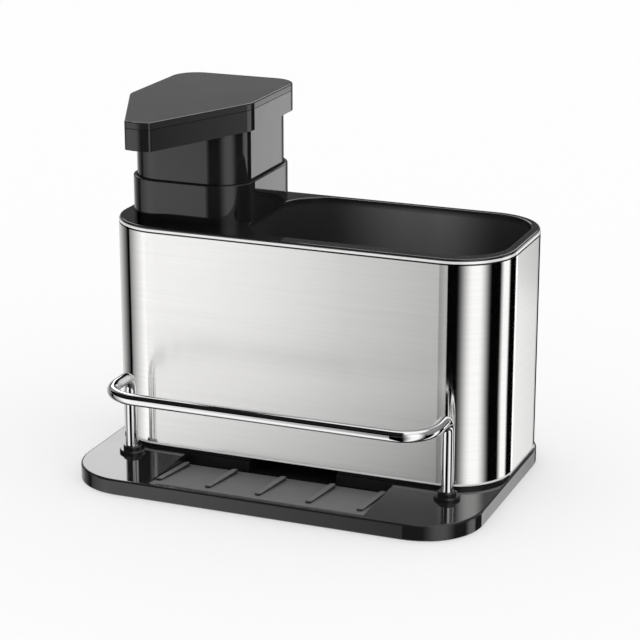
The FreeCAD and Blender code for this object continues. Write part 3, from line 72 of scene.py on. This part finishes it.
class Tree:
    """Short calls for adding and linking shader nodes."""

    def __init__(self, owner):
        owner.use_nodes = True
        self.tree = owner.node_tree
        self.tree.nodes.clear()

    def add(self, kind, inputs=(), **settings):
        node = self.tree.nodes.new("ShaderNode" + kind)
        for name, value in settings.items():
            setattr(node, name, value)
        for name, value in dict(inputs).items():
            self.feed(node.inputs[name], value)
        return node

    def feed(self, socket, value):
        """Link a socket, or set its constant."""
        if isinstance(value, bpy.types.NodeSocket):
            self.tree.links.new(value, socket)
        else:
            socket.default_value = value

    def dress(self, shader, **inputs):
        """Feed a shader's inputs by their names, written in small letters with _ for a space."""
        for key, value in inputs.items():
            name = key.replace("_", " ").title().replace("Ior", "IOR")
            self.feed(shader.inputs[name], value)

    def math(self, operation, *values):
        node = self.add("Math", operation=operation)
        for socket, value in zip(node.inputs, values):
            self.feed(socket, value)
        return node.outputs[0]

    def times(self, first, *others):
        product = first
        for other in others:
            product = self.math("MULTIPLY", product, other)
        return product

    def ramp(self, value, low, high, to_low=0.0, to_high=1.0, shape="LINEAR"):
        node = self.add("MapRange", interpolation_type=shape, clamp=True)
        for socket, item in zip(node.inputs, (value, low, high, to_low, to_high)):
            self.feed(socket, item)
        return node.outputs[0]

    def rise(self, value, edge, shape="LINEAR"):
        """A mask that is 1 past the edge."""
        return self.ramp(value, *edge, 0.0, 1.0, shape)

    def fall(self, value, edge, shape="LINEAR"):
        """A mask that is 1 before the edge."""
        return self.ramp(value, *edge, 1.0, 0.0, shape)

    def choose(self, mask, outside, inside):
        """One number outside a mask, another inside it."""
        return self.ramp(mask, 0.0, 1.0, outside, inside)

    def place(self):
        """Metres in the part's own frame."""
        where = self.add("TexCoord").outputs["Object"]
        return self.add("SeparateXYZ", {"Vector": where}).outputs

    def facing(self):
        """The surface's own direction."""
        normal = self.add("NewGeometry").outputs["Normal"]
        return self.add("SeparateXYZ", {"Vector": normal}).outputs

    def noise(self, grains, detail=2.0, rough=0.5):
        """Noise in the part's own frame; grains per metre, one number or one for each axis."""
        if isinstance(grains, (int, float)):
            grains = (grains, grains, grains)
        place = self.add("TexCoord").outputs["Object"]
        mapping = self.add("Mapping", {"Vector": place, "Scale": grains})
        node = self.add("TexNoise", {"Vector": mapping.outputs[0], "Scale": 1.0,
                                     "Detail": detail, "Roughness": rough})
        return node.outputs["Fac"]

    def spread(self, noise, least, most):
        """A noise as numbers between two values."""
        return self.ramp(noise, *NOISE_SPAN, least, most)

    def blend(self, factor, dark, light):
        node = self.add("Mix", data_type="RGBA")
        self.feed(node.inputs["Factor"], factor)
        for name, colour in (("A", dark), ("B", light)):
            linked = isinstance(colour, bpy.types.NodeSocket)
            self.feed(node.inputs[name], colour if linked else (*colour, 1.0))
        return node.outputs["Result"]

    def bump(self, height, strength, depth):
        node = self.add("Bump", {"Strength": strength, "Distance": depth, "Height": height})
        return node.outputs["Normal"]

    def polish(self):
        """Haze, colour and roughness of the polished black."""
        haze = self.noise(90, detail=4.0, rough=0.6)
        return haze, self.blend(haze, *POLISHED_BLACK), self.spread(haze, *POLISHED_ROUGHNESS)

    def ripple(self):
        """The faint waviness of a polished moulding."""
        return self.bump(self.noise(38, detail=1.0), strength=0.05, depth=0.0004)

    def rolled_foot(self, low, high, lean, hem=0.0):
        """The surface's direction, leaning up towards its foot as a rolled-out edge does."""
        ahead = self.math("ABSOLUTE", self.facing()[1])
        lift = self.ramp(self.place()[2], low, high, lean, 0.0)
        amount = self.math("MULTIPLY_ADD", lift, ahead, hem)
        roll = self.add("CombineXYZ", {"Z": amount})
        own = self.add("NewGeometry").outputs["Normal"]
        total = self.add("VectorMath", {0: own, 1: roll.outputs[0]}, operation="ADD")
        return self.add("VectorMath", {0: total.outputs[0]}, operation="NORMALIZE").outputs[0]


def surface(name, **inputs):
    """A material on one Principled shader; the caller links the detail."""
    material = bpy.data.materials.new(name)
    tree = Tree(material)
    shader = tree.add("BsdfPrincipled")
    tree.dress(shader, **inputs)
    tree.add("OutputMaterial", {"Surface": shader.outputs[0]})
    return material, tree, shader


# ------------------------------------------------------------------- materials

def gloss_black():
    """Piano-black moulding: deep gloss with a faint ripple and fine polishing haze."""
    material, tree, shader = surface("gloss_black", coat_weight=COAT_WEIGHT,
                                     coat_roughness=COAT_ROUGHNESS)
    _, black, gloss = tree.polish()
    tree.dress(shader, base_color=black, roughness=gloss, normal=tree.ripple())
    return material


def tray_black():
    """The same gloss on the base tray, with a satin floor and a matt step in the drain recess;
    the step's colour is painted shade, darker than the polished black.
    """
    recess_left, recess_right = (-0.0542, -0.0538), (0.0508, 0.0512)
    recess_back, recess_top = (-0.0240, -0.0235), (0.0072, 0.0075)
    step_start = (-0.0245, -0.0240)
    level, to_front = (0.90, 0.97), (-0.95, -0.90)
    satin_greys = grey(0.180), grey(0.210)
    # Painted shade on the recess's step.
    step_shade_grey = grey(0.003)
    matt_roughness = 0.45

    material, tree, shader = surface("tray_black", coat_roughness=COAT_ROUGHNESS)
    haze, black, gloss = tree.polish()
    x, y, z = tree.place()
    between_ends = tree.times(tree.rise(x, recess_left), tree.fall(x, recess_right))
    floor = tree.times(tree.fall(y, recess_back), tree.fall(z, recess_top),
                       tree.rise(tree.facing()[2], level), between_ends)
    step = tree.times(tree.fall(tree.facing()[1], to_front), tree.rise(y, step_start))
    matt = tree.math("ADD", floor, step)
    satin = tree.blend(haze, *satin_greys)
    # Painted shade: the recess's step is darker than the polished black; its matt finish is real
    # roughness.
    black = tree.blend(step, black, step_shade_grey)
    tree.dress(shader, base_color=tree.blend(floor, black, satin),
               roughness=tree.choose(matt, gloss, matt_roughness),
               coat_weight=tree.choose(matt, COAT_WEIGHT, 0.0),
               normal=tree.ripple())
    return material


def liner_black():
    """Gloss on the liner's rim, satin down in its cups, with painted light making the
    compartment's middle lighter.
    """
    cup_edge = (0.1120, 0.1150)
    # Where the painted light in the compartment's middle starts and ends, and its greys.
    painted_light_start, painted_light_end = (-0.022, 0.028), (0.040, 0.074)
    painted_light_greys = grey(0.14), grey(0.20)
    dark_grey = grey(0.03)
    satin_roughness = 0.34

    material, tree, shader = surface("liner_black", coat_roughness=COAT_ROUGHNESS)
    _, black, gloss = tree.polish()
    flow = tree.noise((40, 40, 14), detail=2.0)
    x, _, z = tree.place()
    inside = tree.fall(z, cup_edge)
    # Painted light: the compartment's middle is made lighter, in soft vertical bands of the flow
    # noise; beyond it the satin keeps its dark grey.
    middle = tree.times(tree.rise(x, painted_light_start, "SMOOTHSTEP"),
                        tree.fall(x, painted_light_end, "SMOOTHSTEP"))
    satin = tree.blend(middle, dark_grey, tree.blend(flow, *painted_light_greys))
    tree.dress(shader, base_color=tree.blend(inside, black, satin),
               roughness=tree.choose(inside, gloss, satin_roughness),
               coat_weight=tree.choose(inside, COAT_WEIGHT, 0.0))
    return material


def satin_black():
    """Fine spark-eroded grain on the pump head's cover."""
    material, tree, shader = surface("satin_black", coat_weight=0.2, coat_roughness=0.05)
    grain = tree.noise(5200, detail=2.0)
    cloud = tree.noise(45, detail=3.0)
    tree.dress(shader, base_color=tree.blend(cloud, grey(0.011), (0.017, 0.017, 0.0165)),
               roughness=tree.spread(cloud, 0.10, 0.15),
               normal=tree.bump(grain, strength=0.05, depth=0.00003))
    return material


def sleeve_steel():
    """Stainless sheet: satin-brushed front and back, mirror-bright round the corners, with
    painted shade in the groove under the top bead.
    """
    foot, top = (corner[2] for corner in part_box("steel_sleeve"))
    hem_edge = (foot + 0.0010, foot + 0.0012)
    groove_edge = (top - 0.00185, top - 0.00175)
    bead_edge = (top - 0.00115, top - 0.00105)
    flat_edge = (0.9895, 0.9915)
    fine_share, broad_share = 0.6, 0.4
    streak_span = (0.35, 0.65)
    sheet_colours = (0.925, 0.92, 0.91), (0.99, 0.985, 0.975)
    # The groove's painted shade.
    groove_shade_grey = grey(0.03)
    hem_metallic, bead_metallic = 0.1, 0.25
    mirror_roughness, brushed_roughness = 0.08, (0.14, 0.20)
    mirror_bump, brushed_bump = 0.005, 0.05

    material, tree, shader = surface("sleeve_steel", anisotropic=0.97, anisotropic_rotation=0.25)
    fine = tree.noise((26, 26, 5200), detail=2.0, rough=0.65)
    broad = tree.noise((9, 9, 900), detail=2.0, rough=0.55)
    streaks = tree.math("MULTIPLY_ADD", fine, fine_share, tree.times(broad, broad_share))
    x, _, z = tree.place()
    ahead = tree.math("ABSOLUTE", tree.facing()[1])
    flat = tree.rise(ahead, flat_edge)
    hem = tree.fall(z, hem_edge)
    # Painted shade: the groove under the bead is painted dark, as a shadow line.
    groove_shade = tree.times(tree.rise(z, groove_edge), tree.fall(z, bead_edge))
    sheet = tree.blend(tree.rise(streaks, streak_span), *sheet_colours)

    # The flats mirror less at their ends, and least at the upper left.
    middle = tree.ramp(ahead, 0.9955, 0.9999, 0.53, 0.68, "SMOOTHSTEP")
    left = tree.ramp(z, 0.030, 0.052, 0.75, 0.30)
    satin = tree.ramp(x, -0.060, 0.025, left, middle)
    metallic = tree.choose(hem, tree.choose(flat, 1.0, satin), hem_metallic)

    # The brushing fades out towards the foot.
    brushed = tree.spread(streaks, *brushed_roughness)
    brushed = tree.ramp(z, 0.012, 0.050, mirror_roughness, brushed)
    brush = tree.add("Bump", {"Strength": tree.choose(flat, mirror_bump, brushed_bump),
                              "Distance": 0.00004, "Height": fine,
                              "Normal": tree.rolled_foot(0.012, 0.048, lean=0.17, hem=hem)})
    tangent = tree.add("Tangent", direction_type="RADIAL", axis="Z")
    tree.dress(shader, base_color=tree.blend(groove_shade, sheet, groove_shade_grey),
               metallic=tree.ramp(z, *bead_edge, metallic, bead_metallic),
               roughness=tree.choose(flat, mirror_roughness, brushed),
               normal=brush.outputs["Normal"], tangent=tangent.outputs[0])
    return material


def rail_chrome():
    """Bright plate with barely visible polishing lines."""
    material, tree, shader = surface("rail_chrome", metallic=1.0)
    lines = tree.noise((300, 1500, 1500), detail=3.0)
    tree.dress(shader, base_color=tree.blend(lines, (0.88, 0.885, 0.89), grey(0.95)),
               roughness=tree.spread(lines, 0.02, 0.05),
               normal=tree.rolled_foot(0.012, 0.034, lean=0.15))
    return material


def plain_steel(name, dark, light, rough):
    """Turned steel: screws, nuts, spring and valve balls."""
    material, tree, shader = surface(name, metallic=1.0)
    marks = tree.noise((1800, 1800, 2600), detail=3.0)
    tree.dress(shader, base_color=tree.blend(marks, dark, light),
               roughness=tree.spread(marks, rough * 0.8, rough * 1.3),
               normal=tree.bump(marks, strength=0.08, depth=0.00003))
    return material


def rubber():
    """Matt rubber with a dry, slightly dusty skin."""
    material, tree, shader = surface("rubber", specular_ior_level=0.3)
    grain = tree.noise(2600, detail=3.0)
    dust = tree.noise(160, detail=3.0)
    tree.dress(shader, base_color=tree.blend(dust, grey(0.022), (0.045, 0.044, 0.043)),
               roughness=tree.spread(dust, 0.62, 0.8),
               normal=tree.bump(grain, strength=0.25, depth=0.00005))
    return material


def milky_plastic():
    """Translucent moulding of the reservoir and the pump's inner pieces."""
    material, tree, shader = surface("milky_plastic", subsurface_weight=0.25,
                                     subsurface_radius=(0.004, 0.004, 0.0035))
    flow = tree.noise((30, 30, 120), detail=3.0)
    tree.dress(shader, base_color=tree.blend(flow, (0.74, 0.75, 0.74), (0.82, 0.83, 0.82)),
               roughness=tree.spread(flow, 0.28, 0.4),
               normal=tree.bump(flow, strength=0.08, depth=0.0002))
    return material


FINISHES = {
    "gloss_black": gloss_black(),
    "satin_black": satin_black(),
    "sleeve_steel": sleeve_steel(),
    "rail_chrome": rail_chrome(),
    "screw_steel": plain_steel("screw_steel", (0.52, 0.52, 0.53), (0.66, 0.66, 0.67), 0.3),
    "ball_steel": plain_steel("ball_steel", (0.72, 0.72, 0.73), (0.8, 0.8, 0.81), 0.08),
    "rubber": rubber(),
    "milky_plastic": milky_plastic(),
}
OWN_FINISH = {"base_tray": tray_black(), "inner_liner": liner_black()}
for name, obj in nodes.items():
    for index, slot in enumerate(obj.material_slots):
        shared = FINISHES[slot.material.name.split(".")[0]]
        obj.data.materials[index] = OWN_FINISH.get(name, shared)


# --------------------------------------------------------------- return spring

def squeezed_spring():
    """The pump's spring as a copy of its own, carried with the pump in place of the imported
    part.
    """
    coil = bpy.data.objects.new("spring_coil", nodes["return_spring"].data.copy())
    bpy.context.scene.collection.objects.link(coil)
    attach(coil, "pump")
    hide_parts("return_spring")
    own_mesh(coil)


squeezed_spring()


# ---------------------------------------------------------------------- studio

def studio_world():
    """White to the camera and to soft light; polished faces see light panels and dark flags.

    turn is 0 in front and grows to the right, round_back is the same from 0 to 360, and
    height is 0 at eye level and grows upwards.
    """
    softbox_light, tall_light = 2.6, 0.9
    ceiling_light, zenith_extra, gap_light = 0.26, 0.7, 0.01
    dimming = -0.16
    card_shade = 0.72
    front_horizon = 8.0

    world = bpy.data.worlds.new("studio")
    bpy.context.scene.world = world
    tree = Tree(world)
    direction = tree.add("SeparateXYZ", {"Vector": tree.add("TexCoord").outputs["Generated"]})
    x, y, z = direction.outputs
    degrees = 180 / math.pi
    turn = tree.times(tree.math("ARCTAN2", x, tree.times(y, -1.0)), degrees)
    round_back = tree.math("WRAP", turn, 360.0, 0.0)
    height = tree.times(tree.math("ARCSINE", z), degrees)

    def panel(angle, opens, full, fades, ends, shape="LINEAR"):
        """Light between two soft edges."""
        return tree.times(tree.rise(angle, (opens, full), shape),
                          tree.fall(angle, (fades, ends), shape))

    def flag(angle, start, end, edge=2.0):
        """Dark between two angles."""
        return tree.math("SUBTRACT", 1.0, panel(angle, start - edge, start, end, end + edge))

    # Below the horizon: panels all round.
    left = tree.times(panel(turn, -95, -48, -26.5, -15.5), flag(turn, -102, -86))
    right = panel(turn, 15, 47, 57, 84, "SMOOTHSTEP")
    strip = panel(turn, 104, 114, 127, 133)
    card = tree.times(panel(round_back, 162.6, 163.4, 174, 176),
                      tree.rise(height, (-16.9, -16.4)))
    back = tree.times(panel(round_back, 154, 156.2, 228, 268),
                      tree.ramp(round_back, 158.5, 162, 1.45, 0.97),
                      tree.ramp(round_back, 163.5, 164.2, 1.0, 0.66),
                      flag(round_back, 174, 198),
                      tree.choose(card, 1.0, card_shade))
    low = tree.math("ADD", tree.math("ADD", left, right), tree.math("ADD", strip, back))

    # Above it: a dim ceiling with a dark gap in front, a softbox behind, a tall panel right.
    softbox = tree.times(panel(round_back, 178, 186, 216, 224),
                         panel(height, 17.5, 20.5, 40, 46))
    zenith = tree.rise(height, (50, 57))
    ceiling = tree.math("MULTIPLY_ADD", zenith, zenith_extra, ceiling_light)
    gap = tree.times(panel(turn, -112, -106, 15, 30), tree.rise(height, (12, 15)))
    ceiling = tree.choose(gap, ceiling, gap_light)
    dim = tree.times(panel(height, 13.0, 14.0, 17.0, 18.5), dimming)
    tall = tree.times(right, tree.ramp(height, 44, 50, tall_light, 0.0))
    high = tree.math("ADD", tree.math("MULTIPLY_ADD", softbox, softbox_light, ceiling),
                     tree.math("ADD", dim, tall))

    # The horizon stands higher in front.
    horizon = tree.times(panel(turn, -100, -96, 82, 86), front_horizon)
    above = tree.rise(tree.math("SUBTRACT", height, horizon), (-2, 4))
    room = tree.add("Mix", data_type="FLOAT")
    tree.feed(room.inputs["Factor"], above)
    tree.feed(room.inputs["A"], low)
    tree.feed(room.inputs["B"], high)

    plain = tree.add("Background", {"Color": WHITE, "Strength": 1.0})
    panels = tree.add("Background", {"Color": WHITE, "Strength": room.outputs["Result"]})
    mix = tree.add("MixShader", {0: tree.add("LightPath").outputs["Is Glossy Ray"],
                                 1: plain.outputs[0], 2: panels.outputs[0]})
    tree.add("OutputWorld", {"Surface": mix.outputs[0]})


def studio_floor():
    """Pale floor, a little lighter to the camera, which keeps the object's shadow."""
    half = 6.0
    camera_glow = 0.4

    mesh = bpy.data.meshes.new("floor")
    mesh.from_pydata([(-half, -half, 0), (half, -half, 0), (half, half, 0), (-half, half, 0)],
                     [], [(0, 1, 2, 3)])
    floor = bpy.data.objects.new("floor", mesh)
    bpy.context.scene.collection.objects.link(floor)
    material = bpy.data.materials.new("floor")
    tree = Tree(material)
    shader = tree.add("BsdfDiffuse", {"Color": (*grey(0.98), 1.0)})
    glow = tree.add("Emission", {"Color": WHITE, "Strength": 1.0})
    seen = tree.times(tree.add("LightPath").outputs["Is Camera Ray"], camera_glow)
    mix = tree.add("MixShader", {0: seen, 1: shader.outputs[0], 2: glow.outputs[0]})
    tree.add("OutputMaterial", {"Surface": mix.outputs[0]})
    mesh.materials.append(material)
    floor.visible_glossy = False


studio_world()
studio_floor()
bpy.context.scene.view_settings.view_transform = "Standard"


# ---------------------------------------------------------------------- camera

def add_camera(azimuth, elevation, distance, target, lens):
    """Azimuth turns from the front towards +X, elevation upwards; lens is in millimetres."""
    data = bpy.data.cameras.new("camera")
    data.sensor_width = 36.0
    data.lens = lens
    data.clip_end = 20.0
    camera = bpy.data.objects.new("camera", data)
    bpy.context.scene.collection.objects.link(camera)
    a, e = math.radians(azimuth), math.radians(elevation)
    outward = Vector((math.sin(a) * math.cos(e), -math.cos(a) * math.cos(e), math.sin(e)))
    turn = outward.to_track_quat("Z", "Y").to_matrix().to_4x4()
    camera.matrix_world = Matrix.Translation(Vector(target) + outward * distance) @ turn
    bpy.context.scene.camera = camera


add_camera(azimuth=21.80, elevation=17.59, distance=1.0141,
           target=(0.00466, 0.0, 0.07332), lens=123.03)

bpy.context.view_layer.update()
